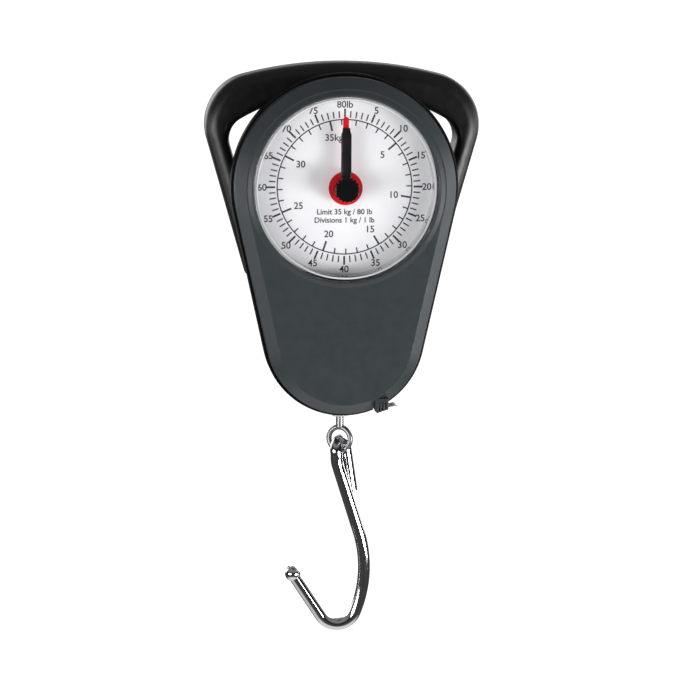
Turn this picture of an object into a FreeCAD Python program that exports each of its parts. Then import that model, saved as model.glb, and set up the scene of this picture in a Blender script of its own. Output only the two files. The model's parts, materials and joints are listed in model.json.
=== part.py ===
import FreeCAD, Part
import math
import os

# Hanging dial scale with a hand grip, a hook and a short tape measure.
# Units are millimetres.  The shapes are built in case coordinates: X to the viewer's right,
# Y from the front to the back with 0 at the joint between front cover and rear shell, and
# Z up with 0 at the dial's axis.  save() then moves every piece so that the part's origin
# is the middle of the hand grip, straight above the hook.

os.makedirs("parts", exist_ok=True)
V = FreeCAD.Vector
ALONG_X, ALONG_Y, ALONG_Z = V(1, 0, 0), V(0, 1, 0), V(0, 0, 1)

# ---------------------------------------------------------------- driving dimensions
GRIP_HEIGHT = 49.0            # grip centre above the dial axis
LOAD_Y = 13.0                 # grip, springs, eyebolt and hook share this plane

# case outline: a large circle about the dial and a smaller one lower down
LOW_Z = -66.9
COVER_TOP_R, COVER_LOW_R = 50.0, 35.5
RIM = 1.0                     # rear shell's rim beyond the front cover
COVER_FRONT = -14.0
COVER_CHAMFER = 4.7
COVER_DRAFT = 0.6             # how much the side wall narrows from its back edge to the chamfer
WALL = 2.0

# window, lens, dial and pointers
WINDOW_R = 41.0
BEZEL_R, BEZEL_RIDGE_R, BEZEL_HEIGHT = 44.0, 42.2, 1.2   # raised ring that slopes outwards
LENS_R = 40.5
LENS_FRONT = -12.9
LENS_T = 1.2
DIAL_R = 41.5
DIAL_FRONT, DIAL_BACK = -3.0, -2.4
POINTER_R, POINTER_DISC_R, POINTER_W = 31.8, 7.6, 2.6
POINTER_FRONT, POINTER_T = -8.4, 0.8
ARM_R, ARM_W = 27.0, 4.6
ARM_FRONT, ARM_T = -11.2, 1.7
KNOB_R, KNOB_FRONT, KNOB_BACK = 5.7, -17.2, -13.2
STUD_R = 2.45

# rear shell
RIM_FRONT, RIM_BACK = -4.3, 2.5
RIM_GAP = 0.1                 # between the rim and the cover's wall
TUB_TOP_R = 36.0
TUB_LOW_Z, TUB_LOW_R = -69.0, 33.0
TUB_BACK = 28.0
SLOPE_TOP_Z, SLOPE_TOP_Y, SLOPE_END_Z = 36.0, 4.0, -20.0

# handle
HANDLE_TOP_Z = 54.8
HANDLE_TOP_R = 178.0
SHOULDER_R = 23.0
LEG_SLOPE = 15.9              # degrees of each leg from upright
LEG_OFFSET = 52.8             # distance of the leg's outer line from the dial axis
HANDLE_FRONT, HANDLE_BACK = 2.5, 23.5
HANDLE_OUTER_ROUND, HANDLE_INNER_ROUND = 6.0, 3.5
ARCH_INNER_Z, ARCH_INNER_R = 42.0, 92.0
OPENING_CORNER_R = 10.0
OPENING_SIDE = 43.6           # distance of the opening's side line from the dial axis
OPENING_BOTTOM_Z = 8.0
LEG_END_Z = -40.0

# screws that hold handle, rear shell and cover together
CASE_SCREWS = [(44.3, -8.0), (40.2, -30.0), (20.0, -88.0)]
CASE_SEAT_Y, CASE_TIP_Y = 9.0, -7.0
SCREW_R, SCREW_HEAD_R, SCREW_HEAD_T = 1.2, 2.7, 1.7
COUNTERBORE_R = 3.1
BOSS_R = 2.9

# movement: rack and pinion between two plates
MODULE = 0.5
TEETH = 12
PITCH_R = MODULE * TEETH / 2
GEAR_Y = (3.2, 5.2)
ARBOR_R = 1.2
FRONT_PLATE_Y = (0.6, 1.6)
REAR_PLATE_Y = (7.4, 8.4)
PILLARS = [(-9.5, 9.0), (11.5, 9.0), (-7.5, -15.0)]
PILLAR_R, PILLAR_SCREW_R = 2.2, 1.0

# springs, anchor and yoke
PLATE_T = 1.5
SPRING_X = 16.0
SPRING_WIRE_R, SPRING_COIL_R, SPRING_PITCH = 0.8, 3.7, 1.7
SPRING_LOOP_R = 2.6
SPRING_TOP_LOOP_Z, SPRING_LOW_LOOP_Z = -3.6, -37.4
ANCHOR_HALF_X, ANCHOR_Z = 21.0, (-4.0, 4.0)
ANCHOR_SCREW_X = 9.0
YOKE_Z = (-45.0, -37.0)
YOKE_TAB_Z = (-64.0, -62.0)
PLATE_YS = (LOAD_Y - PLATE_T / 2, LOAD_Y + PLATE_T / 2)
RIVET_X, RIVET_Z, RIVET_R = 5.4, -41.5, 0.9

# eyebolt, bush and hook
SHANK_R = 1.75
RUNNING = 0.07                # radial clearance of a running fit
EYE_Z = -117.0
EYE_R, EYE_WIRE_R = 5.3, 1.25
PIVOT_Z = EYE_Z - EYE_R
BUSH_Z = (-106.4, -98.6)
HOOK_WIRE_R = 2.75
HAIRPIN_R = 4.4
EYE_TURN = 30.0               # degrees that the eye is swivelled at rest
HAIRPIN_TURN = 33.0           # degrees that the hairpin is turned about upright
HOOK_LEAN, HOOK_TILT, HOOK_SHIFT = 7.0, 3.53, 0.6
SWING_AXIS = V(math.cos(math.radians(EYE_TURN)), -math.sin(math.radians(EYE_TURN)), 0)
RETURN_LEG = 20.5
BALL_R = 3.5

# tape measure
REEL_Z = -85.1
REEL_FLANGE_R, COIL_R, DRUM_R = 13.8, 13.0, 6.5
REEL_Y = (-9.0, -0.8)
FLANGE_T = 0.8
TAPE_Y = (-8.1, -1.7)
TAPE_T = 0.2
MOUTH_X, MOUTH_Y, MOUTH_TOP_Z = (13.5, 19.4), (-13.4, -0.4), -94.3
GROOVE_TOP_Z = -95.6
MOUTH_LOW_Z = (-100.9, -99.2)   # bottom of the mouth block at its left and right ends
TAPE_LEFT, TAPE_RIGHT = -8.0, MOUTH_X[1] + 1.2


# ---------------------------------------------------------------- helpers
def save(name, shape):
    """Move a finished piece into the part's frame and write its STEP file."""
    placed = shape.copy()
    placed.translate(V(0, -LOAD_Y, -GRIP_HEIGHT))
    placed.exportStep("parts/" + name + ".step")


def box(xs, ys, zs):
    size = [max(pair) - min(pair) for pair in (xs, ys, zs)]
    return Part.makeBox(*size, V(min(xs), min(ys), min(zs)))


def rod_y(radius, y0, y1, x=0.0, z=0.0):
    return Part.makeCylinder(radius, y1 - y0, V(x, y0, z), ALONG_Y)


def rod_z(radius, z0, z1, x=0.0, y=LOAD_Y):
    return Part.makeCylinder(radius, z1 - z0, V(x, y, z0), ALONG_Z)


def tube_y(outer, inner, y0, y1, x=0.0, z=0.0):
    return rod_y(outer, y0, y1, x, z).cut(rod_y(inner, y0 - 1, y1 + 1, x, z))


def prism(wire, y0, y1):
    """Extrude a closed outline that was drawn at Y = 0."""
    solid = Part.Face(wire).extrude(V(0, y1 - y0, 0))
    solid.translate(V(0, y0, 0))
    return solid


def loft(wire_0, y0, wire_1, y1):
    """Straight-sided solid between two outlines that were drawn at Y = 0."""
    wires = []
    for wire, y in ((wire_0, y0), (wire_1, y1)):
        moved = wire.copy()
        moved.translate(V(0, y, 0))
        wires.append(moved)
    return Part.makeLoft(wires, True, True)


def polygon_prism(points, y0, y1):
    corners = [V(x, 0, z) for x, z in points]
    return prism(Part.makePolygon(corners + corners[:1]), y0, y1)


def pear_wire(top_r, low_r, low_z=LOW_Z):
    """Two circles about (0, 0) and (0, low_z), joined by their outer tangents."""
    lean = math.asin((top_r - low_r) / -low_z)
    cos, sin = math.cos(lean), math.sin(lean)
    top = V(top_r * cos, 0, -top_r * sin)
    low = V(low_r * cos, 0, low_z - low_r * sin)
    top_left, low_left = V(-top.x, 0, top.z), V(-low.x, 0, low.z)
    return Part.Wire([
        Part.Arc(top_left, V(0, 0, top_r), top).toShape(),
        Part.LineSegment(top, low).toShape(),
        Part.Arc(low, V(0, 0, low_z - low_r), low_left).toShape(),
        Part.LineSegment(low_left, top_left).toShape(),
    ])


def edges_at(shape, y):
    """The edges that lie flat in one plane of constant Y."""
    found = []
    for edge in shape.Edges:
        box_ = edge.BoundBox
        if abs(box_.YMin - y) < 1e-4 and abs(box_.YMax - y) < 1e-4:
            found.append(edge)
    return found


def both_sides(points):
    return [(side * x, z) for x, z in points for side in (1, -1)]


def screw(x, z, seat_y, tip_y, shank_r=SCREW_R, head_r=SCREW_HEAD_R, head_t=SCREW_HEAD_T,
          head_side=1):
    """Pan-head screw with a cross recess; its head is on the +Y or the -Y side."""
    low, high = sorted((seat_y, tip_y))
    shank = rod_y(shank_r, low, high, x, z)
    head_end = seat_y + head_side * head_t
    head = rod_y(head_r, min(seat_y, head_end), max(seat_y, head_end), x, z)
    recess_end = head_end - head_side * head_t * 0.55
    arm, slot = head_r * 0.62, head_r * 0.14
    recess = box((x - arm, x + arm), (head_end, recess_end), (z - slot, z + slot))
    recess = recess.fuse(box((x - slot, x + slot), (head_end, recess_end), (z - arm, z + arm)))
    return shank.fuse(head).cut(recess)


def slope_y(z):
    """Outer face of the rear shell's sloping upper back."""
    run = (TUB_BACK - SLOPE_TOP_Y) / (SLOPE_TOP_Z - SLOPE_END_Z)
    return SLOPE_TOP_Y + (SLOPE_TOP_Z - z) * run


def slope_cutter(inset):
    """Everything behind the sloping back, with the slope moved forward by the inset."""
    far_y = 60.0
    top, end = SLOPE_TOP_Z + 10, SLOPE_END_Z - 20
    points = [V(0, slope_y(top) - inset, top), V(0, slope_y(end) - inset, end),
              V(0, far_y, end), V(0, far_y, top)]
    face = Part.Face(Part.makePolygon(points + points[:1]))
    solid = face.extrude(V(160, 0, 0))
    solid.translate(V(-80, 0, 0))
    return solid


# ---------------------------------------------------------------- case
def tape_slot():
    gap = 0.35
    return box((5, 40), (TAPE_Y[0] - gap, TAPE_Y[1] + gap),
               (REEL_Z - COIL_R - TAPE_T - gap, REEL_Z - COIL_R + gap))


def front_cover():
    chamfer_y = COVER_FRONT + COVER_CHAMFER
    wall = loft(pear_wire(COVER_TOP_R, COVER_LOW_R), 0,
                pear_wire(COVER_TOP_R - COVER_DRAFT, COVER_LOW_R - COVER_DRAFT), chamfer_y)
    front = prism(pear_wire(COVER_TOP_R - COVER_DRAFT, COVER_LOW_R - COVER_DRAFT),
                  COVER_FRONT, chamfer_y)
    front = front.makeChamfer(COVER_CHAMFER - 0.01, edges_at(front, COVER_FRONT))
    shell = wall.fuse(front)
    hollow = prism(pear_wire(COVER_TOP_R - WALL, COVER_LOW_R - WALL), COVER_FRONT + WALL, 1)
    hollow = hollow.makeChamfer(COVER_CHAMFER - 0.5, edges_at(hollow, COVER_FRONT + WALL))
    ridge_y = COVER_FRONT - BEZEL_HEIGHT
    bezel = Part.makeCone(BEZEL_RIDGE_R, BEZEL_R, BEZEL_HEIGHT, V(0, ridge_y, 0), ALONG_Y)
    window = rod_y(WINDOW_R, ridge_y - 1, COVER_FRONT + WALL + 1)
    flare = Part.makeCone(WINDOW_R + 0.6, WINDOW_R, 1.0, V(0, ridge_y, 0), ALONG_Y)
    shell = shell.cut(hollow).fuse(bezel).cut(window).cut(flare)
    for x, z in both_sides(CASE_SCREWS):
        shell = shell.fuse(rod_y(BOSS_R, -10.0, 0, x, z))
    for x, z in both_sides(CASE_SCREWS):
        shell = shell.cut(rod_y(SCREW_R + 0.05, CASE_TIP_Y - 1, 1, x, z))
    axle_boss = rod_y(3.4, COVER_FRONT + WALL - 0.2, REEL_Y[0] - 0.2, 0, REEL_Z)
    axle_hole = rod_y(1.25, COVER_FRONT + 0.8, 0, 0, REEL_Z)
    shell = shell.fuse(axle_boss).cut(axle_hole)
    return shell.cut(tape_slot()).cut(mouth_block())


def mouth_block():
    """Block that stands on the cover's lower right edge. Its bottom slants up to the right."""
    left, right = MOUTH_X
    corner = 0.8
    outline = [(left, MOUTH_TOP_Z), (left, MOUTH_LOW_Z[0] + corner),
               (left + corner, MOUTH_LOW_Z[0]), (right, MOUTH_LOW_Z[1]), (right, MOUTH_TOP_Z)]
    return polygon_prism(outline, *MOUTH_Y)


def tape_mouth():
    """The ribbed block that the tape comes out of, with its back trimmed to the reel space."""
    block = mouth_block()
    groove_w, groove_depth, pitch = 0.7, 0.6, 1.4
    groove_x = MOUTH_X[0] + 1.5
    while groove_x < MOUTH_X[1] - groove_w:
        block = block.cut(box((groove_x, groove_x + groove_w),
                              (MOUTH_Y[0] - 1, MOUTH_Y[0] + groove_depth),
                              (MOUTH_LOW_Z[0] - 1, GROOVE_TOP_Z)))
        groove_x += pitch
    reel_space = rod_y(COVER_LOW_R - WALL - 0.3, COVER_FRONT + WALL, 1, 0, LOW_Z)
    return block.cut(tape_slot()).cut(reel_space)


def rear_shell():
    rim = prism(pear_wire(COVER_TOP_R + RIM, COVER_LOW_R + RIM), RIM_FRONT, RIM_BACK)
    rim = rim.cut(prism(pear_wire(COVER_TOP_R + RIM_GAP, COVER_LOW_R + RIM_GAP), RIM_FRONT - 1, 0))
    rim = rim.cut(box((MOUTH_X[0] - RIM_GAP, MOUTH_X[1] + RIM_GAP), (RIM_FRONT - 1, 0),
                      (MOUTH_LOW_Z[0] - 5, MOUTH_TOP_Z + 5)))
    tub = prism(pear_wire(TUB_TOP_R, TUB_LOW_R, TUB_LOW_Z), RIM_BACK - 0.5, TUB_BACK)
    tub = tub.makeFillet(4.0, edges_at(tub, TUB_BACK))
    tub = tub.cut(slope_cutter(0))
    hollow = prism(pear_wire(TUB_TOP_R - WALL, TUB_LOW_R - WALL, TUB_LOW_Z), -1,
                   TUB_BACK - WALL)
    hollow = hollow.makeFillet(3.0, edges_at(hollow, TUB_BACK - WALL))
    hollow = hollow.cut(slope_cutter(WALL + 0.2))
    shell = rim.fuse(tub).cut(hollow)
    shell = shell.fuse(tube_y(41.0, 39.0, DIAL_BACK, 0.5))
    for x, z in both_sides(CASE_SCREWS[2:]):
        shell = shell.fuse(rod_y(COUNTERBORE_R + 1.2, 0, TUB_BACK - 0.5, x, z))
        shell = shell.cut(rod_y(COUNTERBORE_R, CASE_SEAT_Y, TUB_BACK + 1, x, z))
    for x, z in both_sides(CASE_SCREWS):
        shell = shell.cut(rod_y(SCREW_R + 0.2, -1, CASE_SEAT_Y + 1, x, z))
    for x, z in PILLARS:
        wall_y = min(slope_y(z), TUB_BACK) - 1.0
        shell = shell.fuse(rod_y(2.8, REAR_PLATE_Y[1], wall_y, x, z))
        shell = shell.cut(rod_y(PILLAR_SCREW_R + 0.03, 0, REAR_PLATE_Y[1] + 4.5, x, z))
    for x in (-ANCHOR_SCREW_X, ANCHOR_SCREW_X):
        shell = shell.fuse(rod_y(2.8, PLATE_YS[1], slope_y(0) - 1.0, x, 0))
        shell = shell.cut(rod_y(1.25, PLATE_YS[1] - 1, PLATE_YS[1] + 3.6, x, 0))
    bottom = TUB_LOW_Z - TUB_LOW_R
    return shell.cut(rod_z(3.25, bottom - 3, bottom + 5))


def handle_outline():
    """Outer line: a flat arch, two shoulders and two straight legs, all tangent."""
    lean = math.radians(LEG_SLOPE)
    normal = V(math.cos(lean), 0, -math.sin(lean))
    crown = V(0, 0, HANDLE_TOP_Z - HANDLE_TOP_R)
    reach = HANDLE_TOP_R - SHOULDER_R
    inset = LEG_OFFSET - SHOULDER_R - normal.dot(crown)
    along = V(math.sin(lean), 0, math.cos(lean))
    shoulder = crown + normal * inset + along * math.sqrt(reach ** 2 - inset ** 2)
    top_end = shoulder + (shoulder - crown).normalize() * SHOULDER_R
    leg_top = shoulder + normal * SHOULDER_R
    bulge = ((top_end - shoulder) + (leg_top - shoulder)).normalize() * SHOULDER_R + shoulder
    foot = leg_top - along * ((leg_top.z - LEG_END_Z + 20) / along.z)

    def mirrored(point):
        return V(-point.x, 0, point.z)

    crest = V(0, 0, HANDLE_TOP_Z)
    return Part.Wire([
        Part.Arc(mirrored(top_end), crest, top_end).toShape(),
        Part.Arc(top_end, bulge, leg_top).toShape(),
        Part.LineSegment(leg_top, foot).toShape(),
        Part.LineSegment(foot, mirrored(foot)).toShape(),
        Part.LineSegment(mirrored(foot), mirrored(leg_top)).toShape(),
        Part.Arc(mirrored(leg_top), mirrored(bulge), mirrored(top_end)).toShape(),
    ])


def opening_wire():
    """Finger opening under the arch: an arched top, sloping sides and a straight sill."""
    lean = math.radians(LEG_SLOPE)
    normal = V(math.cos(lean), 0, -math.sin(lean))
    along = V(math.sin(lean), 0, math.cos(lean))
    crown = V(0, 0, ARCH_INNER_Z - ARCH_INNER_R)
    reach = ARCH_INNER_R - OPENING_CORNER_R
    inset = OPENING_SIDE - OPENING_CORNER_R - normal.dot(crown)
    corner = crown + normal * inset + along * math.sqrt(reach ** 2 - inset ** 2)
    top_end = corner + (corner - crown).normalize() * OPENING_CORNER_R
    side_top = corner + normal * OPENING_CORNER_R
    bulge = ((top_end - corner) + (side_top - corner)).normalize() * OPENING_CORNER_R + corner
    sill_r = 6.0
    sill_z = OPENING_BOTTOM_Z + sill_r
    low_centre = V((OPENING_SIDE - sill_r + normal.z * -sill_z) / normal.x, 0, sill_z)
    side_end = low_centre + normal * sill_r
    sill_end = low_centre + V(0, 0, -sill_r)
    low_bulge = ((side_end - low_centre) + (sill_end - low_centre)).normalize() * sill_r
    low_bulge = low_bulge + low_centre

    def mirrored(point):
        return V(-point.x, 0, point.z)

    return Part.Wire([
        Part.Arc(mirrored(top_end), V(0, 0, ARCH_INNER_Z), top_end).toShape(),
        Part.Arc(top_end, bulge, side_top).toShape(),
        Part.LineSegment(side_top, side_end).toShape(),
        Part.Arc(side_end, low_bulge, sill_end).toShape(),
        Part.LineSegment(sill_end, mirrored(sill_end)).toShape(),
        Part.Arc(mirrored(sill_end), mirrored(low_bulge), mirrored(side_end)).toShape(),
        Part.LineSegment(mirrored(side_end), mirrored(side_top)).toShape(),
        Part.Arc(mirrored(side_top), mirrored(bulge), mirrored(top_end)).toShape(),
    ])


def handle():
    body = prism(handle_outline(), HANDLE_FRONT, HANDLE_BACK)
    rims = edges_at(body, HANDLE_FRONT) + edges_at(body, HANDLE_BACK)
    rims = [edge for edge in rims if edge.BoundBox.ZMax > LEG_END_Z]
    body = body.makeFillet(HANDLE_OUTER_ROUND, rims)
    before = [edge.CenterOfMass for edge in body.Edges]
    body = body.cut(prism(opening_wire(), HANDLE_FRONT - 1, HANDLE_BACK + 1))
    rims = edges_at(body, HANDLE_FRONT) + edges_at(body, HANDLE_BACK)
    rims = [edge for edge in rims
            if all(edge.CenterOfMass.distanceToPoint(old) > 0.01 for old in before)]
    body = body.makeFillet(HANDLE_INNER_ROUND, rims)
    body = body.cut(box((-90, 90), (0, 40), (-90, LEG_END_Z)))
    around_tub = pear_wire(TUB_TOP_R + 0.1, TUB_LOW_R + 0.1, TUB_LOW_Z)
    body = body.cut(prism(around_tub, 0, 40))
    for x, z in both_sides(CASE_SCREWS[:2]):
        body = body.cut(rod_y(SCREW_R + 0.2, 0, CASE_SEAT_Y + 1, x, z))
        body = body.cut(rod_y(COUNTERBORE_R, CASE_SEAT_Y, 40, x, z))
    return body


def case_screws():
    return Part.makeCompound([screw(x, z, CASE_SEAT_Y, CASE_TIP_Y)
                              for x, z in both_sides(CASE_SCREWS)])


def lens():
    back = LENS_FRONT + LENS_T
    disc = rod_y(LENS_R, LENS_FRONT, back)
    flange_front = COVER_FRONT + WALL
    flange = tube_y(43.0, LENS_R - 1.3, flange_front, flange_front + 1.0)
    skirt = tube_y(LENS_R, LENS_R - 1.3, back - 0.1, DIAL_FRONT)
    return disc.fuse(flange).fuse(skirt).cut(rod_y(STUD_R + 0.05, -20, 0))


def dial_plate():
    return tube_y(DIAL_R, 2.0, DIAL_FRONT, DIAL_BACK)


# ---------------------------------------------------------------- pointers
def main_pointer():
    back = POINTER_FRONT + POINTER_T
    disc = rod_y(POINTER_DISC_R, POINTER_FRONT, back)
    needle = box((-POINTER_W / 2, POINTER_W / 2), (POINTER_FRONT, back),
                 (0, POINTER_R - POINTER_W / 2))
    tip = rod_y(POINTER_W / 2, POINTER_FRONT, back, 0, POINTER_R - POINTER_W / 2)
    hub = rod_y(2.6, back - 0.1, DIAL_FRONT - 0.6)
    return disc.fuse(needle).fuse(tip).fuse(hub).cut(rod_y(ARBOR_R, -20, 0))


def hold_pointer():
    """Arm with a stud through the lens; its tip is a narrower rounded nose."""
    back = ARM_FRONT + ARM_T
    nose = 1.7
    arm = polygon_prism([(-ARM_W / 2, 0), (ARM_W / 2, 0), (ARM_W / 2, ARM_R - 3),
                         (nose, ARM_R - 1.2), (nose, ARM_R), (-nose, ARM_R),
                         (-nose, ARM_R - 1.2), (-ARM_W / 2, ARM_R - 3)], ARM_FRONT, back)
    arm = arm.makeChamfer(0.5, [edge for edge in edges_at(arm, ARM_FRONT)
                                if edge.BoundBox.ZMax > 1])
    hub = rod_y(5.0, ARM_FRONT, back)
    stud = rod_y(STUD_R, KNOB_BACK - 0.9, ARM_FRONT + 0.1)
    return arm.fuse(hub).fuse(stud)


def hold_knob():
    knob = rod_y(KNOB_R, KNOB_FRONT, KNOB_BACK)
    knob = knob.makeChamfer(0.7, edges_at(knob, KNOB_FRONT))
    flutes, flute_r = 18, 0.62
    for i in range(flutes):
        turn = 2 * math.pi * i / flutes
        x, z = KNOB_R * math.cos(turn), KNOB_R * math.sin(turn)
        knob = knob.cut(rod_y(flute_r, KNOB_FRONT - 1, KNOB_BACK + 1, x, z))
    return knob.cut(rod_y(STUD_R, KNOB_BACK - 0.9, 0))


def knob_washer():
    """Spring washer that gives the hold pointer its friction against the lens."""
    return tube_y(4.4, STUD_R + 0.05, LENS_FRONT - 0.3, LENS_FRONT)


# ---------------------------------------------------------------- movement
def pinion_arbor():
    shaft = rod_y(ARBOR_R, POINTER_FRONT - 0.3, REAR_PLATE_Y[1] + 0.3)
    gear = rod_y(PITCH_R - 0.6, *GEAR_Y)
    for i in range(TEETH):
        tooth = polygon_prism([(PITCH_R - 0.8, -0.52), (PITCH_R, -0.31), (PITCH_R + 0.4, -0.18),
                               (PITCH_R + 0.4, 0.18), (PITCH_R, 0.31), (PITCH_R - 0.8, 0.52)],
                              *GEAR_Y)
        tooth.rotate(V(0, 0, 0), ALONG_Y, 360.0 / TEETH * (i + 0.5))
        gear = gear.fuse(tooth)
    return shaft.fuse(gear)


def rack_bar():
    """Rack beside the pinion, with a foot that reaches back to the yoke."""
    pitch = math.pi * MODULE
    teeth_below, teeth_above = 2, 14
    root_x = PITCH_R + 0.6
    top_z = (teeth_above + 1) * pitch
    bar = box((root_x, 7.2), GEAR_Y, (YOKE_Z[0] + 1, top_z))
    for k in range(-teeth_below, teeth_above + 1):
        z = k * pitch
        tooth = polygon_prism([(root_x + 0.1, z - 0.54), (PITCH_R - 0.4, z - 0.16),
                               (PITCH_R - 0.4, z + 0.16), (root_x + 0.1, z + 0.54)], *GEAR_Y)
        bar = bar.fuse(tooth)
    foot = box((root_x, 7.2), (GEAR_Y[0], PLATE_YS[0]), (YOKE_Z[0] + 1, YOKE_Z[1] - 2))
    bar = bar.fuse(foot)
    return bar.cut(rod_y(RIVET_R, PLATE_YS[0] - 2.5, LOAD_Y, RIVET_X, RIVET_Z))


def plate_outline():
    return Part.makePolygon([V(x, 0, z) for x, z in PILLARS + PILLARS[:1]]).makeOffset2D(3.6)


def movement_plate(ys):
    plate = prism(plate_outline(), *ys).cut(rod_y(2.4, ys[0] - 1, ys[1] + 1))
    for x, z in PILLARS:
        plate = plate.cut(rod_y(PILLAR_SCREW_R + 0.1, ys[0] - 1, ys[1] + 1, x, z))
    return plate


def arbor_bush(ys):
    body = rod_y(2.4, ys[0], ys[1])
    lip = rod_y(3.0, ys[0] - 0.5, ys[0])
    return body.fuse(lip).cut(rod_y(ARBOR_R + RUNNING, ys[0] - 2, ys[1] + 2))


def movement_pillars():
    return Part.makeCompound([tube_y(PILLAR_R, PILLAR_SCREW_R + 0.1, FRONT_PLATE_Y[1],
                                     REAR_PLATE_Y[0], x, z) for x, z in PILLARS])


def movement_screws():
    return Part.makeCompound([screw(x, z, FRONT_PLATE_Y[0], REAR_PLATE_Y[1] + 4,
                                    PILLAR_SCREW_R, 1.9, 1.2, -1) for x, z in PILLARS])


# ---------------------------------------------------------------- load train
def spring_anchor():
    plate = box((-ANCHOR_HALF_X, ANCHOR_HALF_X), PLATE_YS, ANCHOR_Z)
    for side in (-1, 1):
        hole_z = SPRING_TOP_LOOP_Z + SPRING_LOOP_R
        plate = plate.cut(rod_y(1.4, 0, 30, side * SPRING_X, hole_z))
        plate = plate.cut(rod_y(1.3, 0, 30, side * ANCHOR_SCREW_X, 0))
    return plate


def anchor_screws():
    return Part.makeCompound([screw(x, 0, PLATE_YS[0], PLATE_YS[1] + 3, SCREW_R, 2.2, 1.4, -1)
                              for x in (-ANCHOR_SCREW_X, ANCHOR_SCREW_X)])


def spring(x):
    """Closed-coil extension spring with a round loop at each end."""
    top, low = SPRING_TOP_LOOP_Z, SPRING_LOW_LOOP_Z
    coil_top = top - SPRING_LOOP_R
    coil_low = low + SPRING_LOOP_R
    height = coil_top - coil_low
    helix = Part.makeHelix(SPRING_PITCH, height, SPRING_COIL_R)
    start = Part.Wire(Part.Circle(V(SPRING_COIL_R, 0, 0), ALONG_Y, SPRING_WIRE_R).toShape())
    coil = Part.Wire(helix).makePipeShell([start], True, True)
    coil.translate(V(x, LOAD_Y, coil_low))
    shape = coil
    turns = height / SPRING_PITCH
    for z, turn in ((coil_low, 0.0), (coil_top, 2 * math.pi * turns)):
        direction = V(math.cos(turn), math.sin(turn), 0)
        link = Part.makeCylinder(SPRING_WIRE_R, SPRING_COIL_R, V(x, LOAD_Y, z), direction)
        ball = Part.makeSphere(SPRING_WIRE_R, V(x, LOAD_Y, z) + direction * SPRING_COIL_R)
        shape = shape.fuse(link).fuse(ball)
    for z in (top, low):
        shape = shape.fuse(Part.makeTorus(SPRING_LOOP_R, SPRING_WIRE_R, V(x, LOAD_Y, z), ALONG_X))
    return shape


def yoke():
    """Cross bar on the springs, two legs, and a tab that carries the eyebolt."""
    plate = box((-ANCHOR_HALF_X, ANCHOR_HALF_X), PLATE_YS, YOKE_Z)
    for side in (-1, 1):
        leg = box((side * 6.5, side * 10.0), PLATE_YS, (YOKE_TAB_Z[0], YOKE_Z[0] + 1))
        plate = plate.fuse(leg)
    tab = box((-10, 10), (LOAD_Y - 5, LOAD_Y + 5), YOKE_TAB_Z)
    plate = plate.fuse(tab).cut(rod_z(SHANK_R + RUNNING, YOKE_TAB_Z[0] - 1, YOKE_TAB_Z[1] + 1))
    for side in (-1, 1):
        hole_z = SPRING_LOW_LOOP_Z - SPRING_LOOP_R
        plate = plate.cut(rod_y(1.4, 0, 30, side * SPRING_X, hole_z))
    return plate.cut(rod_y(RIVET_R, 0, 30, RIVET_X, RIVET_Z))


def rack_rivet():
    body = rod_y(RIVET_R, PLATE_YS[0] - 2.5, PLATE_YS[1], RIVET_X, RIVET_Z)
    return body.fuse(rod_y(1.7, PLATE_YS[1], PLATE_YS[1] + 0.9, RIVET_X, RIVET_Z))


def shank_bush():
    low, high = BUSH_Z
    inner_floor = TUB_LOW_Z - TUB_LOW_R + WALL
    body = rod_z(3.2, low, high)
    lip = rod_z(5.2, inner_floor + 0.6, high)
    collar = rod_z(3.7, low, low + 0.9)
    return body.fuse(lip).fuse(collar).cut(rod_z(SHANK_R + RUNNING, low - 1, high + 1))


def eyebolt():
    shank = rod_z(SHANK_R, EYE_Z + EYE_R, YOKE_TAB_Z[1] + 4.4)
    through_eye = SWING_AXIS.cross(ALONG_Z)
    ring = Part.makeTorus(EYE_R, EYE_WIRE_R, V(0, LOAD_Y, EYE_Z), through_eye)
    return shank.fuse(ring)


def thrust_washer():
    z = YOKE_TAB_Z[1]
    return rod_z(4.0, z, z + 0.6).cut(rod_z(SHANK_R, z - 1, z + 2))


def swivel_nut():
    z = YOKE_TAB_Z[1] + 0.6
    hexagon = Part.makePolygon([V(3.4 * math.cos(math.radians(a)),
                                  LOAD_Y + 3.4 * math.sin(math.radians(a)), z)
                                for a in range(0, 361, 60)])
    nut = Part.Face(hexagon).extrude(V(0, 0, 3.0))
    return nut.cut(rod_z(SHANK_R, z - 1, z + 5))


# ---------------------------------------------------------------- hook
def hook_path():
    """Return leg, hairpin, main leg, bowl and straight arm, in order, about the pivot.

    Each bend is a tangent arc.  Headings are degrees from straight down towards +X.
    """
    turn = math.radians(HAIRPIN_TURN)
    offset = V(-math.sin(turn), -math.cos(turn), 0) * HAIRPIN_R
    edges = [
        Part.LineSegment(offset * -1 + V(0, 0, -RETURN_LEG), offset * -1).toShape(),
        Part.Arc(offset * -1, V(0, 0, HAIRPIN_R), offset).toShape(),
    ]
    bends = [(12.0, -9.9), (12.7, 8.9), (None, 32.5), (57.0, -30.4), (8.8, -155.8), (None, 23.2)]
    point, heading = offset, 0.0
    for radius, value in bends:
        facing = V(math.sin(heading), 0, -math.cos(heading))
        if radius is None:
            end = point + facing * value
            edges.append(Part.LineSegment(point, end).toShape())
            point = end
            continue
        target = math.radians(value)
        side = 1 if target > heading else -1
        centre = point + V(math.cos(heading), 0, math.sin(heading)) * (side * radius)
        middle, end = [centre - V(math.cos(a), 0, math.sin(a)) * (side * radius)
                       for a in ((heading + target) / 2, target)]
        edges.append(Part.Arc(point, middle, end).toShape())
        point, heading = end, target
    facing = V(math.sin(heading), 0, -math.cos(heading))
    return edges, point, facing


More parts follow.
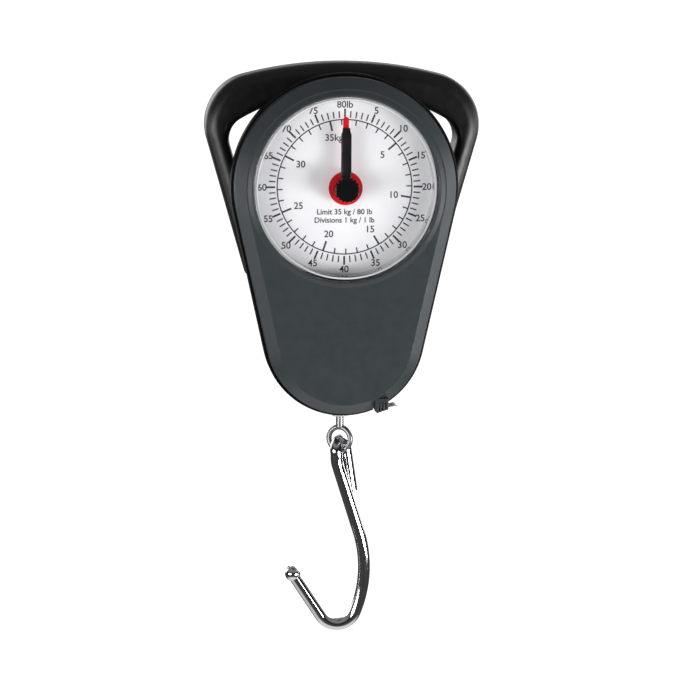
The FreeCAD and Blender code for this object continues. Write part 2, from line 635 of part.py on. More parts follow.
def hang(shape):
    """Lean the hook in its own plane, swing it under the pivot and lift it into place."""
    hung = shape.copy()
    hung.rotate(V(0, 0, 0), ALONG_Y, -HOOK_LEAN)
    hung.rotate(V(0, 0, 0), SWING_AXIS, HOOK_TILT)
    hung.translate(SWING_AXIS * HOOK_SHIFT + V(0, LOAD_Y, PIVOT_Z))
    return hung


def hook_pieces():
    edges, tip, facing = hook_path()
    start = edges[0].Vertexes[0].Point
    profile = Part.Wire(Part.Circle(start, ALONG_Z, HOOK_WIRE_R).toShape())
    wire = Part.Wire(edges).makePipeShell([profile], True, False)
    centre = tip + facing * 1.0
    nub = Part.makeSphere(0.9, centre + facing * (BALL_R - 0.1))
    ball = Part.makeSphere(BALL_R, centre).fuse(nub).cut(wire)
    return hang(wire), hang(ball)


# ---------------------------------------------------------------- tape measure
def reel_spool():
    front, back = REEL_Y
    web = rod_y(REEL_FLANGE_R, front, front + FLANGE_T, 0, REEL_Z)
    drum = tube_y(DRUM_R, DRUM_R - 1, front, back, 0, REEL_Z)
    rear = tube_y(REEL_FLANGE_R, DRUM_R - 1, back - FLANGE_T, back, 0, REEL_Z)
    sleeve = rod_y(3.0, front, back - 1.2, 0, REEL_Z)
    return web.fuse(drum).fuse(rear).fuse(sleeve).cut(rod_y(2.0 + RUNNING, -20, 5, 0, REEL_Z))


def reel_axle():
    front, back = REEL_Y[0] - 0.2, REEL_Y[1] - 1.1
    shaft = rod_y(2.0, front, back, 0, REEL_Z)
    tip = rod_y(1.2, COVER_FRONT + 1.0, front, 0, REEL_Z)
    head = rod_y(3.2, back, back + 1.2, 0, REEL_Z)
    slot = box((-3, 3), (back + 0.6, back + 2), (REEL_Z - 0.4, REEL_Z + 0.4))
    return shaft.fuse(tip).fuse(head).cut(slot)


def power_spring():
    """Flat strip wound in a spiral between the spool's sleeve and its drum."""
    turns, steps, thick = 4.0, 36, 0.25
    inner, outer = 3.3, DRUM_R - 1.3
    count = int(turns * steps)
    lines = []
    for offset in (0.0, thick):
        line = []
        for i in range(count + 1):
            turn = 2 * math.pi * i / steps
            radius = inner + (outer - inner - thick) * i / count + offset
            line.append((radius * math.cos(turn), REEL_Z + radius * math.sin(turn)))
        lines.append(line)
    return polygon_prism(lines[0] + lines[1][::-1], TAPE_Y[0] + 0.1, TAPE_Y[1] - 0.4)


def tape_coil():
    return tube_y(COIL_R, DRUM_R, *TAPE_Y, 0, REEL_Z)


def tape_blade():
    bottom = REEL_Z - COIL_R
    return box((TAPE_LEFT, TAPE_RIGHT), TAPE_Y, (bottom - TAPE_T, bottom))


def tape_end_tab():
    """Bent lip on the tape's end: it clips over the tape, rises a little and curls down."""
    bottom = REEL_Z - COIL_R - TAPE_T
    low = bottom - 0.5
    x = MOUTH_X[1] + 0.15
    line = [(x, low), (x + 2.2, low + 0.1), (x + 3.4, low + 0.35), (x + 4.6, low - 0.3)]
    curve = Part.BSplineCurve()
    curve.interpolate([V(px, 0, pz) for px, pz in line])
    upper = curve.copy()
    upper.translate(V(0, 0, 0.5))
    first, last = V(x, 0, low), V(line[-1][0], 0, line[-1][1])
    wire = Part.Wire([curve.toShape(),
                      Part.LineSegment(last, last + V(0, 0, 0.5)).toShape(),
                      upper.toShape(),
                      Part.LineSegment(first + V(0, 0, 0.5), first).toShape()])
    tab = prism(wire, TAPE_Y[0] - 0.5, TAPE_Y[1] + 0.5)
    return tab.cut(tape_blade())


def main():
    hook, ball = hook_pieces()
    pieces = {
        "front_cover": front_cover(),
        "tape_mouth": tape_mouth(),
        "rear_shell": rear_shell(),
        "handle": handle(),
        "case_screws": case_screws(),
        "lens": lens(),
        "dial_plate": dial_plate(),
        "main_pointer": main_pointer(),
        "hold_pointer": hold_pointer(),
        "hold_knob": hold_knob(),
        "knob_washer": knob_washer(),
        "pinion_arbor": pinion_arbor(),
        "movement_front_plate": movement_plate(FRONT_PLATE_Y),
        "movement_rear_plate": movement_plate(REAR_PLATE_Y),
        "arbor_bush_front": arbor_bush(FRONT_PLATE_Y),
        "arbor_bush_rear": arbor_bush(REAR_PLATE_Y),
        "movement_pillars": movement_pillars(),
        "movement_screws": movement_screws(),
        "spring_anchor": spring_anchor(),
        "anchor_screws": anchor_screws(),
        "spring_left": spring(-SPRING_X),
        "spring_right": spring(SPRING_X),
        "yoke": yoke(),
        "rack_bar": rack_bar(),
        "rack_rivet": rack_rivet(),
        "shank_bush": shank_bush(),
        "eyebolt": eyebolt(),
        "thrust_washer": thrust_washer(),
        "swivel_nut": swivel_nut(),
        "hook": hook,
        "hook_ball": ball,
        "reel_spool": reel_spool(),
        "reel_axle": reel_axle(),
        "power_spring": power_spring(),
        "tape_coil": tape_coil(),
        "tape_blade": tape_blade(),
        "tape_end_tab": tape_end_tab(),
    }
    for name, shape in pieces.items():
        solids = len(shape.Solids)
        print(name, "solids", solids, "valid", shape.isValid(), "mm3", round(shape.Volume, 2))
        save(name, shape)


main()
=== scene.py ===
"""Looks, light and camera for the hanging spring scale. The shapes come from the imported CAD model;
this script prints the dial, gives every node its material and sets the studio.
Lengths are in metres, and those of the print and the lens's edge in millimetres.
The front faces -Y and the load line is Z."""

import json
import math

import bmesh
import bpy
from mathutils import Matrix, Vector


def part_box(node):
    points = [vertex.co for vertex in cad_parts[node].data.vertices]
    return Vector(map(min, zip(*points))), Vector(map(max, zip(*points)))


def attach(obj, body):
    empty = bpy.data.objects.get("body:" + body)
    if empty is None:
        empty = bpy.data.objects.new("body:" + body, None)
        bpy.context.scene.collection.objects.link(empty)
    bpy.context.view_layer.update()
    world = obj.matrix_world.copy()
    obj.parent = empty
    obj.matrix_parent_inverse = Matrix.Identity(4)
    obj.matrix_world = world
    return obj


MM = 0.001

# the dial's print, in millimetres. Radii are from the dial's axis.
SCALE_CIRCLE_R = 30.15
CIRCLE_LINE = 0.55
LB_MINOR = (31.0, 34.0)
LB_MAJOR = (31.0, 35.0)
KG_MINOR = (27.7, SCALE_CIRCLE_R)
KG_MAJOR = (25.6, SCALE_CIRCLE_R)
MINOR_LINE, MAJOR_LINE = 0.6, 0.85
LB_FULL = 80
LB_PER_KG = 2.20462
KG_FULL, KG_LAST_TICK = 35, 36
NUMBER_STEP = 5                 # every fifth tick is long and has a number
LB_NUMBER_R, KG_NUMBER_R = 36.9, 22.2
NUMBER_SIZE = 4.25
NOTE_SIZE = 3.4
NOTES = [(-11.5, "Limit 35 kg / 80 lb"), (-15.2, "Divisions 1 kg / 1 lb")]
LETTER_WEIGHT = 0.075           # the letters' outlines are moved out by this much
LETTER_CURVE_STEPS = 6
INK_THICKNESS = 0.02
CIRCLE_STEPS = 240

# the white ring at the lens's edge, a painted highlight of its bright edge, in millimetres
LENS_EDGE_R, LENS_EDGE_W = 39.9, 0.9
LENS_EDGE_POINTS = 8            # points of its half-round section

# camera: the photo's viewing angle and scale
CAMERA_AZIMUTH, CAMERA_ELEVATION, CAMERA_ROLL = -5.5, 9.0, 0.35
CAMERA_DISTANCE = 1.6
VIEW_WIDTH = 0.3105
CAMERA_TARGET = (0.00095, -0.013, -0.1209)
SENSOR_MM = 36.0
CLIP_NEAR, CLIP_FAR = 0.05, 200

FLOOR_Z = -1.0
FLOOR_HALF_SIZE = 40
FLOOR_GLOW, FLOOR_FAR_GLOW = 0.8, 0.04
FLOOR_FADE = (0.56, 1.05)       # the glow fades between these distances from under the scale
FLOOR_BOUNCE = 0.06             # share of the floor's tone that other surfaces see

# the world's light: direction component where it starts and is full, then its level there
WORLD_BEHIND = (0.75, 0.95, 0.02, 0.9)
WORLD_ABOVE = (0.2, 0.55, 0.02, 0.28)

# softboxes: azimuth and elevation in degrees, width, height, radiance, whether the chrome sees it
LAMP_DISTANCE = 1.3
LAMP_TARGET = (0, 0, -0.08)
SOFTBOXES = {
    "softbox_left": (-47, -6, 0.9, 0.38, 8.2, True),
    "softbox_right": (50, -12, 0.8, 0.30, 16.7, True),
    "softbox_side_left": (-88, -6, 0.5, 0.8, 2.0, False),
    "softbox_side_right": (90, -6, 0.5, 0.8, 3.6, False),
    "softbox_back_left": (-142, 12, 1.0, 0.9, 2.2, True),
    "softbox_back_right": (142, 12, 1.0, 0.9, 2.2, True),
}


# ---------- node helpers ----------

class Shader:
    """One material's node tree, with short calls for the nodes it needs."""

    def __init__(self, name):
        self.material = bpy.data.materials.new(name)
        self.material.use_nodes = True
        self.tree = self.material.node_tree
        self.tree.nodes.clear()
        self.output = self.tree.nodes.new("ShaderNodeOutputMaterial")
        self.coords = self.tree.nodes.new("ShaderNodeTexCoord").outputs["Object"]

    def node(self, kind, **inputs):
        made = self.tree.nodes.new(kind)
        for name, value in inputs.items():
            self.put(made, name.replace("_", " "), value)
        return made

    def put(self, node, name, value):
        """Links or sets the input with this name or number."""
        socket = node.inputs[name]
        if isinstance(value, bpy.types.NodeSocket):
            self.tree.links.new(value, socket)
        else:
            socket.default_value = value

    def noise(self, size, detail=3.0, stretch=(1, 1, 1)):
        """Noise from 0 to 1, with features of about size metres."""
        mapping = self.node("ShaderNodeMapping", Vector=self.coords)
        mapping.inputs["Scale"].default_value = stretch
        made = self.node("ShaderNodeTexNoise", Vector=mapping.outputs[0], Scale=1 / size,
                         Detail=detail)
        return made.outputs["Fac"]

    def between(self, factor, low, high, low_at=0.3, high_at=0.7):
        """The factor from low_at to high_at becomes low to high."""
        made = self.tree.nodes.new("ShaderNodeMapRange")
        for name, value in (("Value", factor), ("From Min", low_at), ("From Max", high_at),
                            ("To Min", low), ("To Max", high)):
            self.put(made, name, value)
        return made.outputs[0]

    def blend(self, factor, a, b):
        """Colour a where the factor is 0 and b where it is 1."""
        made = self.tree.nodes.new("ShaderNodeMix")
        made.data_type = "RGBA"
        for number, value in ((0, factor), (6, a), (7, b)):
            self.put(made, number, value)
        return made.outputs[2]

    def math(self, operation, a, b=0.0):
        made = self.tree.nodes.new("ShaderNodeMath")
        made.operation = operation
        self.put(made, 0, a)
        self.put(made, 1, b)
        return made.outputs[0]

    def rounded(self, radius):
        """The surface normal with its edges rounded off by radius."""
        made = self.tree.nodes.new("ShaderNodeBevel")
        made.samples = 4
        made.inputs["Radius"].default_value = radius
        return made.outputs[0]

    def edges(self, rounded_normal):
        """0 on open faces and near 1 on sharp edges."""
        flat = self.tree.nodes.new("ShaderNodeNewGeometry").outputs["Normal"]
        dot = self.tree.nodes.new("ShaderNodeVectorMath")
        dot.operation = "DOT_PRODUCT"
        self.tree.links.new(flat, dot.inputs[0])
        self.tree.links.new(rounded_normal, dot.inputs[1])
        return self.between(dot.outputs["Value"], 1.0, 0.0, 0.86, 0.995)

    def bump(self, height, depth, normal=None, strength=1.0):
        made = self.tree.nodes.new("ShaderNodeBump")
        made.inputs["Distance"].default_value = depth
        made.inputs["Strength"].default_value = strength
        self.put(made, "Height", height)
        if normal is not None:
            self.put(made, "Normal", normal)
        return made.outputs[0]

    def mix_shaders(self, factor, a, b):
        """Shader a where the factor is 0 and b where it is 1."""
        made = self.tree.nodes.new("ShaderNodeMixShader")
        for number, value in enumerate((factor, a, b)):
            self.put(made, number, value)
        return made.outputs[0]

    def surface(self, shader):
        self.tree.links.new(shader, self.output.inputs["Surface"])

    def principled(self, **inputs):
        self.surface(self.node("ShaderNodeBsdfPrincipled", **inputs).outputs[0])


def colour(r, g, b):
    return (r, g, b, 1.0)


def shade(c, factor):
    return (c[0] * factor, c[1] * factor, c[2] * factor, 1.0)


# ---------- materials ----------

def moulded_plastic(name, base, roughness, grain, edge_radius, edge_wear_and_highlight):
    """Moulded plastic: fine spark-eroded grain, slight mottling, edges polished by handling, and edges
    lighter in colour, partly as wear and partly as a painted highlight line.
    """
    s = Shader(name)
    normal = s.rounded(edge_radius)
    edge = s.edges(normal)
    mottled = s.blend(s.between(s.noise(0.012, 4), 0, 1), shade(base, 0.93), shade(base, 1.07))
    speckled = s.blend(s.between(s.noise(0.0006, 2), 0, 0.35), mottled, shade(base, 0.8))
    # edges lighter in colour: partly wear from handling, partly a painted highlight along the edges
    wear_and_highlight_colour = s.blend(s.math("MULTIPLY", edge, edge_wear_and_highlight), speckled, shade(base, 1.8))
    rough = s.between(s.noise(0.004, 5), roughness - 0.04, roughness + 0.05)
    polished = s.math("SUBTRACT", rough, s.math("MULTIPLY", edge, 0.08))
    bumped = s.bump(s.noise(0.00035, 2), grain, normal, 0.7)
    s.principled(Base_Color=wear_and_highlight_colour, Roughness=polished, Normal=bumped, IOR=1.5)
    return s.material


def glossy_plastic(name, base, roughness):
    """Polished moulded plastic with faint smears."""
    s = Shader(name)
    normal = s.rounded(0.00015)
    tone = s.blend(s.between(s.noise(0.003, 3), 0, 1), shade(base, 0.92), shade(base, 1.08))
    rough = s.between(s.noise(0.0015, 5), roughness, roughness + 0.1)
    bumped = s.bump(s.noise(0.0012, 2), 0.00001, normal, 0.4)
    s.principled(Base_Color=tone, Roughness=rough, Normal=bumped, IOR=1.52)
    return s.material


def metal(name, base, low_rough, high_rough, streak=(1, 1, 1), depth=0.000004):
    """Metal with smears in its gloss and fine lines along the direction that streak squeezes least."""
    s = Shader(name)
    normal = s.rounded(0.0002)
    lines = s.noise(0.0004, 4, streak)
    smear = s.noise(0.006, 3)
    tone = s.blend(s.between(smear, 0, 1), shade(base, 0.92), shade(base, 1.04))
    both = s.math("ADD", s.math("MULTIPLY", lines, 0.5), s.math("MULTIPLY", smear, 0.5))
    rough = s.between(both, low_rough, high_rough)
    bumped = s.bump(lines, depth, normal)
    s.principled(Base_Color=tone, Metallic=1.0, Roughness=rough, Normal=bumped)
    return s.material


def chrome(name):
    """Chrome plate on bent wire: nearly a mirror, with slight waviness, haze and a few pits."""
    s = Shader(name)
    haze = s.noise(0.005, 4)
    pits = s.between(s.noise(0.0005, 2), 0, 1, 0.74, 0.8)
    tone = s.blend(pits, colour(0.74, 0.745, 0.76), colour(0.45, 0.45, 0.46))
    rough = s.math("ADD", s.between(haze, 0.045, 0.09), s.math("MULTIPLY", pits, 0.25))
    wavy = s.bump(s.noise(0.005, 2), 0.00003)
    s.principled(Base_Color=tone, Metallic=1.0, Roughness=rough, Normal=wavy)
    return s.material


def clear_acrylic(name):
    """Polished acrylic. Shadow rays pass straight through, so lamps light the dial behind it."""
    s = Shader(name)
    smears = s.between(s.noise(0.008, 4), 0.0, 0.02)
    glass = s.node("ShaderNodeBsdfPrincipled", Base_Color=colour(0.997, 0.998, 0.998),
                   Roughness=smears, IOR=1.45, Transmission_Weight=1.0)
    clear = s.node("ShaderNodeBsdfTransparent", Color=colour(0.99, 0.99, 0.99))
    shadow_ray = s.tree.nodes.new("ShaderNodeLightPath").outputs["Is Shadow Ray"]
    s.surface(s.mix_shaders(shadow_ray, glass.outputs[0], clear.outputs[0]))
    return s.material


def frosted_edge(name):
    """A white ring at the lens's edge: a painted highlight of the lens's bright edge, with a fine
    grain.
    """
    s = Shader(name)
    grain = s.noise(0.0003, 3)
    # near-white colour: painted highlight of the lens's bright edge
    tone = s.blend(s.between(grain, 0, 1), colour(0.90, 0.90, 0.91), colour(0.97, 0.97, 0.98))
    s.principled(Base_Color=tone, Roughness=s.between(grain, 0.25, 0.45), Subsurface_Weight=0.2,
                 Subsurface_Scale=0.001, Normal=s.bump(grain, 0.00001))
    return s.material


def dial_silver(name):
    """Aluminium sheet under a satin white-silver lacquer."""
    s = Shader(name)
    fleck = s.noise(0.0002, 2)
    cloud = s.noise(0.015, 3)
    tone = s.blend(s.between(cloud, 0, 1), colour(0.745, 0.745, 0.765), colour(0.775, 0.775, 0.79))
    flecked = s.blend(s.between(fleck, 0, 0.3), tone, colour(0.70, 0.70, 0.72))
    rough = s.between(fleck, 0.38, 0.55)
    s.principled(Base_Color=flecked, Metallic=0.05, Roughness=rough, Normal=s.bump(fleck, 0.000006))
    return s.material


def ink(name):
    """Printed black, slightly uneven in tone and gloss."""
    s = Shader(name)
    uneven = s.between(s.noise(0.0003, 3), 0, 1)
    tone = s.blend(uneven, colour(0.012, 0.012, 0.014), colour(0.03, 0.03, 0.034))
    s.principled(Base_Color=tone, Roughness=s.between(s.noise(0.0004, 2), 0.4, 0.6))
    return s.material


def tape_fabric(name):
    """Coated tape with black graduations every millimetre, longer every 5 and 10."""
    s = Shader(name)
    weave = s.noise(0.00025, 2)
    yellowed = s.between(s.noise(0.004, 3), 0, 1)
    marked = s.blend(yellowed, colour(0.80, 0.77, 0.62), colour(0.86, 0.84, 0.70))
    parts = s.node("ShaderNodeSeparateXYZ", Vector=s.coords)
    low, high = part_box("tape_blade")
    from_end = s.math("SUBTRACT", parts.outputs["X"], high.x)
    from_edge = s.math("SUBTRACT", parts.outputs["Y"], low.y)
    for pitch, share, width in ((0.001, 0.25, 0.00016), (0.005, 0.4, 0.00018), (0.01, 0.6, 0.0002)):
        along = s.math("PINGPONG", from_end, pitch / 2)
        on_line = s.math("LESS_THAN", along, width / 2)
        near_edge = s.math("LESS_THAN", from_edge, share * (high.y - low.y))
        marked = s.blend(s.math("MULTIPLY", on_line, near_edge), marked, colour(0.02, 0.02, 0.02))
    s.principled(Base_Color=marked, Roughness=s.between(weave, 0.4, 0.6),
                 Normal=s.bump(weave, 0.00002))
    return s.material


def make_materials():
    """The materials by slot, and a few finishes of their own for single nodes."""
    grey = (0.037, 0.046, 0.0505)
    black = (0.003, 0.003, 0.0033)
    return {
        "grey_plastic": moulded_plastic("grey_moulded", grey, 0.40, 0.00003, 0.0003, 0.35),
        "black_plastic": moulded_plastic("black_moulded", black, 0.36, 0.00003, 0.0004, 0.3),
        "clear_plastic": clear_acrylic("clear_acrylic"),
        "dial_face": dial_silver("dial_silver"),
        "red_plastic": glossy_plastic("red_gloss", (0.52, 0.006, 0.010), 0.16),
        "black_gloss": glossy_plastic("black_gloss", (0.005, 0.005, 0.006), 0.14),
        "steel_plate": metal("zinc_plate", (0.52, 0.53, 0.55), 0.28, 0.5),
        "spring_steel": metal("drawn_wire", (0.42, 0.43, 0.45), 0.2, 0.38),
        "brass": metal("turned_brass", (0.68, 0.48, 0.2), 0.18, 0.36, (1, 6, 1)),
        "screw_steel": metal("screw_zinc", (0.5, 0.5, 0.52), 0.25, 0.42),
        "chrome": chrome("chrome_wire"),
        "eye_chrome": metal("eye_chrome", (0.30, 0.30, 0.31), 0.28, 0.44, depth=0.00001),
        "white_nylon": moulded_plastic("natural_nylon", (0.62, 0.61, 0.56), 0.45, 0.00001,
                                       0.0002, 0.0),
        "tape_vinyl": tape_fabric("tape_coated"),
        "tape_tab": metal("tab_steel", (0.80, 0.78, 0.70), 0.35, 0.5),
        # white ring at the lens's edge: painted highlight
        "lens_edge": frosted_edge("lens_edge_highlight"),
        "ink": ink("dial_ink"),
    }


def dress_nodes(frame, materials):
    """Gives each CAD node the material of its slot, or its own where one slot covers two finishes."""
    own = {"eyebolt": "eye_chrome", "tape_end_tab": "tape_tab"}
    for part in frame["record"]["subparts"]:
        node = frame["nodes"][part["node"]]
        look = materials[own.get(part["node"], part["material_slot"])]
        if not node.data.materials:
            node.data.materials.append(look)
        for slot in node.material_slots:
            slot.link = "OBJECT"
            slot.material = look


# ---------- dial print ----------

def to_dial(dial, x, z, lift=0.0):
    """A point of the print, in millimetres across and up from the dial's axis."""
    return Vector((dial.x + x * MM, dial.y - lift * MM, dial.z + z * MM))


def polar(r, degrees):
    """Across and up at radius r, clockwise from the top."""
    a = math.radians(degrees)
    return r * math.sin(a), r * math.cos(a)


def slab(bm, dial, outline):
    """A thin printed shape with this outline."""
    under = [bm.verts.new(to_dial(dial, x, z)) for x, z in outline]
    top = [bm.verts.new(to_dial(dial, x, z, INK_THICKNESS)) for x, z in outline]
    bm.faces.new(under)
    bm.faces.new(list(reversed(top)))
    for i in range(len(outline)):
        j = (i + 1) % len(outline)
        bm.faces.new((under[j], under[i], top[i], top[j]))


def tick(bm, dial, degrees, radii, width):
    """A straight line from one radius to the other."""
    dx, dz = polar(width / 2, degrees + 90)
    (x0, z0), (x1, z1) = polar(radii[0], degrees), polar(radii[1], degrees)
    slab(bm, dial, [(x0 - dx, z0 - dz), (x1 - dx, z1 - dz), (x1 + dx, z1 + dz), (x0 + dx, z0 + dz)])


def ring(bm, dial, radius, width):
    """A printed circle."""
    inner, outer = radius - width / 2, radius + width / 2
    rows = []
    for r, lift in ((inner, 0), (outer, 0), (outer, INK_THICKNESS), (inner, INK_THICKNESS)):
        points = [polar(r, 360 * i / CIRCLE_STEPS) for i in range(CIRCLE_STEPS)]
        rows.append([bm.verts.new(to_dial(dial, x, z, lift)) for x, z in points])
    for a, b in zip(rows, rows[1:] + rows[:1]):
        for i in range(CIRCLE_STEPS):
            j = (i + 1) % CIRCLE_STEPS
            bm.faces.new((a[i], a[j], b[j], b[i]))


def finish_piece(bm, name, material, body):
    """Makes the mesh a piece that rides this body."""
    bmesh.ops.recalc_face_normals(bm, faces=bm.faces)
    mesh = bpy.data.meshes.new(name)
    bm.to_mesh(mesh)
    bm.free()
    mesh.materials.append(material)
    piece = bpy.data.objects.new(name, mesh)
    bpy.context.scene.collection.objects.link(piece)
    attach(piece, body)


def letters(bm, dial, text, size, x, z):
    """Adds a printed word or number, centred at x, z."""
    curve = bpy.data.curves.new("letters", "FONT")
    curve.body = text
    curve.size = size * MM
    curve.align_x = "CENTER"
    curve.align_y = "CENTER"
    curve.extrude = INK_THICKNESS * MM / 2
    curve.resolution_u = LETTER_CURVE_STEPS
    curve.offset = LETTER_WEIGHT * MM
    word = bpy.data.objects.new("letters", curve)
    bpy.context.scene.collection.objects.link(word)
    bpy.context.view_layer.update()
    mesh = bpy.data.meshes.new_from_object(word)
    low = min(v.co.y for v in mesh.vertices)
    high = max(v.co.y for v in mesh.vertices)
    centre = Matrix.Translation((0, -(low + high) / 2, 0))
    stand = Matrix.Rotation(math.pi / 2, 4, "X")
    place = Matrix.Translation(to_dial(dial, x, z, INK_THICKNESS / 2))
    mesh.transform(place @ stand @ centre)
    bm.from_mesh(mesh)
    bpy.data.objects.remove(word)
    bpy.data.curves.remove(curve)
    bpy.data.meshes.remove(mesh)


def front_middle(low, high):
    """The middle of the front face of a box."""
    return Vector(((low.x + high.x) / 2, low.y, (low.z + high.z) / 2))


def half_round(centre, out):
    """Points of a half circle that bulges to the front, from the outside to the inside."""
    turns = [math.pi * k / (LENS_EDGE_POINTS - 1) for k in range(LENS_EDGE_POINTS)]
    front = Vector((0, -1, 0))
    return [centre + (out * math.cos(a) + front * math.sin(a)) * LENS_EDGE_W * MM / 2 for a in turns]


def add_lens_edge(materials):
    """A rounded white ring that runs round the front of the lens: a painted highlight of its bright
    edge.
    """
    middle = front_middle(*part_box("lens"))
    bm = bmesh.new()
    loops = []
    for i in range(CIRCLE_STEPS):
        x, z = polar(LENS_EDGE_R, 360 * i / CIRCLE_STEPS)
        spoke = Vector((x, 0, z))
        points = half_round(middle + spoke * MM, spoke.normalized())
        loops.append([bm.verts.new(point) for point in points])
    for a, b in zip(loops, loops[1:] + loops[:1]):
        for k in range(LENS_EDGE_POINTS):
            j = (k + 1) % LENS_EDGE_POINTS
            bm.faces.new((a[k], a[j], b[j], b[k]))
    for face in bm.faces:
        face.smooth = True
    finish_piece(bm, "lens_edge", materials["lens_edge"], "case")


def add_ticks(bm, dial, counts, degrees_each, long_radii, short_radii):
    for count in counts:
        if count % NUMBER_STEP == 0:
            tick(bm, dial, count * degrees_each, long_radii, MAJOR_LINE)
        else:
            tick(bm, dial, count * degrees_each, short_radii, MINOR_LINE)


def add_numbers(bm, dial, full, unit, degrees_each, radius):
    """The scale's numbers. The last one also names the unit."""
    for count in range(NUMBER_STEP, full + 1, NUMBER_STEP):
        text = f"{count}{unit}" if count == full else str(count)
        letters(bm, dial, text, NUMBER_SIZE, *polar(radius, count * degrees_each))


def print_dial(materials):
    """Ticks, circle and numbers of the pound and kilogram scales, and two lines of text."""
    dial = front_middle(*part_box("dial_plate"))
    lb_turn = 360 / LB_FULL
    kg_turn = lb_turn * LB_PER_KG

    marks = bmesh.new()
    ring(marks, dial, SCALE_CIRCLE_R, CIRCLE_LINE)
    add_ticks(marks, dial, range(LB_FULL), lb_turn, LB_MAJOR, LB_MINOR)
    add_ticks(marks, dial, range(1, KG_LAST_TICK + 1), kg_turn, KG_MAJOR, KG_MINOR)
    finish_piece(marks, "dial_marks", materials["ink"], "case")

    pounds = bmesh.new()
    add_numbers(pounds, dial, LB_FULL, "lb", lb_turn, LB_NUMBER_R)
    finish_piece(pounds, "pound_numbers", materials["ink"], "case")

    kilograms = bmesh.new()
    add_numbers(kilograms, dial, KG_FULL, "kg", kg_turn, KG_NUMBER_R)
    finish_piece(kilograms, "kilogram_numbers", materials["ink"], "case")

    notes = bmesh.new()
    for z, text in NOTES:
        letters(notes, dial, text, NOTE_SIZE, 0, z)
    finish_piece(notes, "range_notes", materials["ink"], "case")


# ---------- studio ----------

def direction(azimuth, elevation):
    """From the object towards a camera at this azimuth and elevation, in degrees."""
    a, e = math.radians(azimuth), math.radians(elevation)
    return Vector((math.sin(a) * math.cos(e), -math.cos(a) * math.cos(e), math.sin(e)))


def add_camera():
    data = bpy.data.cameras.new("camera")
    data.sensor_width = SENSOR_MM
    data.lens = CAMERA_DISTANCE * SENSOR_MM / VIEW_WIDTH
    data.clip_start, data.clip_end = CLIP_NEAR, CLIP_FAR
    camera = bpy.data.objects.new("camera", data)
    bpy.context.scene.collection.objects.link(camera)
    back = direction(CAMERA_AZIMUTH, CAMERA_ELEVATION)
    camera.location = Vector(CAMERA_TARGET) + back * CAMERA_DISTANCE
    look = (-back).to_track_quat("-Z", "Y").to_matrix().to_4x4()
    turn = look @ Matrix.Rotation(math.radians(CAMERA_ROLL), 4, "Z")
    camera.rotation_euler = turn.to_euler()
    bpy.context.scene.camera = camera


def add_softbox(name, azimuth, elevation, width, height, radiance):
    """A rectangular lamp that faces the scale and isn't seen by the camera."""
    data = bpy.data.lights.new(name, "AREA")
    data.shape = "RECTANGLE"
    data.size, data.size_y = width, height
    data.energy = radiance * math.pi * width * height
    light = bpy.data.objects.new(name, data)
    bpy.context.scene.collection.objects.link(light)
    back = direction(azimuth, elevation)
    light.location = Vector(LAMP_TARGET) + back * LAMP_DISTANCE
    light.rotation_euler = (-back).to_track_quat("-Z", "Y").to_euler()
    light.visible_camera = False
    return light


def keep_off_chrome(light, frame):
    """This lamp lights every CAD node but the chrome wire, whose edges stay dark."""
    lit = bpy.data.collections.new(light.name + "_lights")
    for part in frame["record"]["subparts"]:
        if part["material_slot"] != "chrome":
            lit.objects.link(frame["nodes"][part["node"]])
    light.light_linking.receiver_collection = lit


def world_ramp(tree, component, start, full, low, high):
    """Light that rises from low to high as this component of the direction goes from start to full."""
    made = tree.nodes.new("ShaderNodeMapRange")
    made.interpolation_type = "SMOOTHSTEP"
    tree.links.new(component, made.inputs["Value"])
    for name, value in (("From Min", start), ("From Max", full), ("To Min", low), ("To Max", high)):
        made.inputs[name].default_value = value
    return made.outputs[0]


def add_world():
    """White to the camera. As light it is white behind the object, grey above and dark elsewhere."""
    world = bpy.data.worlds.new("studio")
    bpy.context.scene.world = world
    world.use_nodes = True
    tree = world.node_tree
    tree.nodes.clear()
    coords = tree.nodes.new("ShaderNodeTexCoord")
    parts = tree.nodes.new("ShaderNodeSeparateXYZ")
    level = tree.nodes.new("ShaderNodeMath")
    level.operation = "MAXIMUM"
    lit = tree.nodes.new("ShaderNodeBackground")
    seen = tree.nodes.new("ShaderNodeBackground")
    path = tree.nodes.new("ShaderNodeLightPath")
    mix = tree.nodes.new("ShaderNodeMixShader")
    output = tree.nodes.new("ShaderNodeOutputWorld")
    seen.inputs["Strength"].default_value = 1.0
    tree.links.new(coords.outputs["Generated"], parts.inputs[0])
    behind = world_ramp(tree, parts.outputs["Y"], *WORLD_BEHIND)
    above = world_ramp(tree, parts.outputs["Z"], *WORLD_ABOVE)
    for source, target in ((behind, level.inputs[0]), (above, level.inputs[1]),
                           (level.outputs[0], lit.inputs["Strength"]),
                           (path.outputs["Is Camera Ray"], mix.inputs[0]),
                           (lit.outputs[0], mix.inputs[1]), (seen.outputs[0], mix.inputs[2]),
                           (mix.outputs[0], output.inputs["Surface"])):
        tree.links.new(source, target)


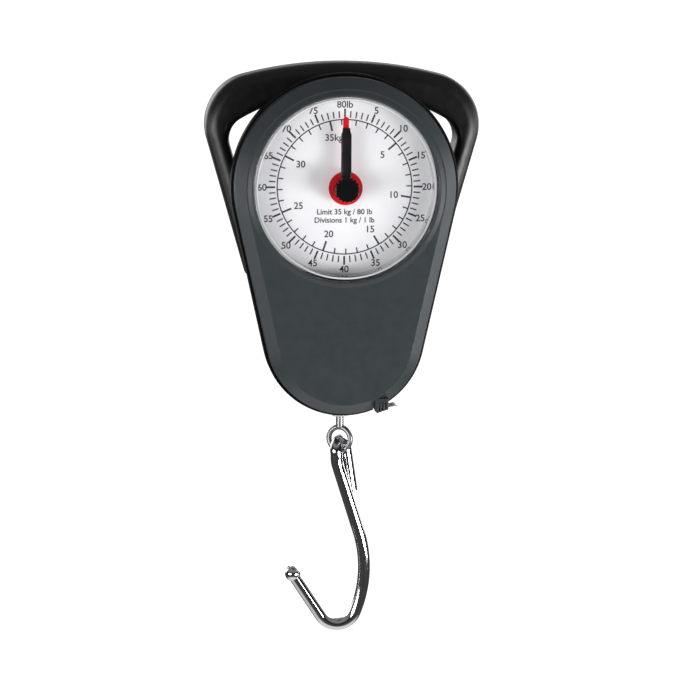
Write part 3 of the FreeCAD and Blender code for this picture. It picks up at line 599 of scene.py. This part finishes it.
def add_floor():
    """A plain white floor, well below the hanging scale. Only the part under the scale lights it."""
    s = Shader("floor_white")
    seen_by_camera = s.tree.nodes.new("ShaderNodeLightPath").outputs["Is Camera Ray"]
    tone = s.between(s.noise(0.4, 2), 0.80, 0.86)
    bounce = s.math("MULTIPLY", tone, s.between(seen_by_camera, FLOOR_BOUNCE, 1.0, 0.0, 1.0))
    base = s.blend(bounce, colour(0.0, 0.0, 0.0), colour(1.0, 1.0, 1.0))
    distance = s.node("ShaderNodeVectorMath", Vector=s.coords)
    distance.operation = "LENGTH"
    glow = s.between(distance.outputs["Value"], FLOOR_GLOW, FLOOR_FAR_GLOW, *FLOOR_FADE)
    seen = s.math("MAXIMUM", glow, seen_by_camera)
    s.principled(Base_Color=base, Roughness=0.9, Specular_IOR_Level=0.0,
                 Emission_Color=colour(1, 1, 1), Emission_Strength=seen)
    bm = bmesh.new()
    bmesh.ops.create_grid(bm, x_segments=2, y_segments=2, size=FLOOR_HALF_SIZE)
    mesh = bpy.data.meshes.new("floor")
    bm.to_mesh(mesh)
    bm.free()
    mesh.materials.append(s.material)
    floor = bpy.data.objects.new("floor", mesh)
    floor.location = (0, 0, FLOOR_Z)
    bpy.context.scene.collection.objects.link(floor)


def add_studio(frame):
    bpy.context.scene.view_settings.view_transform = "Standard"
    add_camera()
    add_world()
    add_floor()
    for name, (azimuth, elevation, width, height, radiance, on_chrome) in SOFTBOXES.items():
        light = add_softbox(name, azimuth, elevation, width, height, radiance)
        if not on_chrome:
            keep_off_chrome(light, frame)


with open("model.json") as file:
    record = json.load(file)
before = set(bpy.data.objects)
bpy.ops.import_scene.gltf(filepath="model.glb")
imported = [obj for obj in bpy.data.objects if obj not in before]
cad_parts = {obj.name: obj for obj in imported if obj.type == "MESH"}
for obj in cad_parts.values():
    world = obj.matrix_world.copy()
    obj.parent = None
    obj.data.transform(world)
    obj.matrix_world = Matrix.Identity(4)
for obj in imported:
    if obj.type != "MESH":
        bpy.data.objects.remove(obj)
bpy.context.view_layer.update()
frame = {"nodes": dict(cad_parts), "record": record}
looks = make_materials()
dress_nodes(frame, looks)
print_dial(looks)
add_lens_edge(looks)
add_studio(frame)
